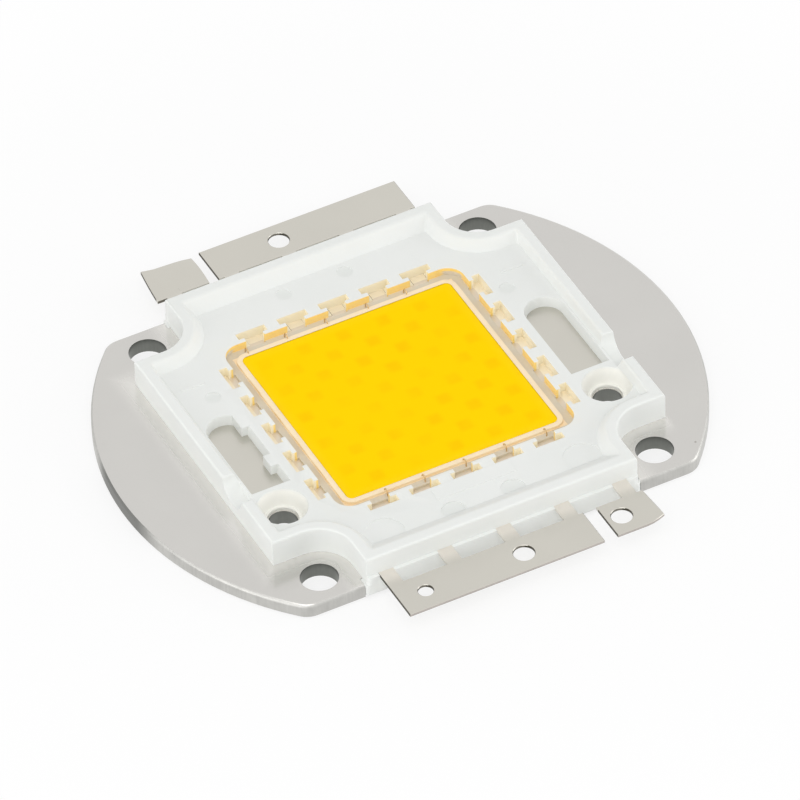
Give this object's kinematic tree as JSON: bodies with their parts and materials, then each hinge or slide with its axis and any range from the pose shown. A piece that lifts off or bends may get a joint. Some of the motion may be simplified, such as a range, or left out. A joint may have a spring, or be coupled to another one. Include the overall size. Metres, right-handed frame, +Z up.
{
  "type": "multi-chip light-emitting module",
  "caption": "Flat high-power light module: round metal plate with two flats, white moulded frame round a square yellow emitter, comb terminals at the front and back.",
  "frame": {"origin": "centre of the plate's underside", "axes": "+Z up out of the light-emitting face, +X along the terminal bars towards the right of the picture, -Y towards the viewer"},
  "size_m": [0.056, 0.052, 0.0043],
  "materials": {
    "plate_metal": "satin nickel-plated metal",
    "lead_metal": "satin plated strip",
    "white_plastic": "semi-matt moulded plastic",
    "phosphor_gel": "smooth cast gel",
    "die_ceramic": "smooth",
    "wire_gold": "drawn wire"
  },
  "bodies": {
    "root": {"base_plate": "plate_metal", "housing": "white_plastic", "phosphor": "phosphor_gel", "die_array": "die_ceramic", "lead_front_long": "lead_metal", "lead_front_short": "lead_metal", "lead_back_long": "lead_metal", "lead_back_short": "lead_metal", "lead_side_left": "lead_metal", "lead_side_right": "lead_metal", "bond_wire_front_1": "wire_gold", "bond_wire_front_2": "wire_gold", "bond_wire_front_3": "wire_gold", "bond_wire_front_4": "wire_gold", "bond_wire_front_5": "wire_gold", "bond_wire_back_1": "wire_gold", "bond_wire_back_2": "wire_gold", "bond_wire_back_3": "wire_gold", "bond_wire_back_4": "wire_gold", "bond_wire_back_5": "wire_gold"}
  },
  "joints": []
}
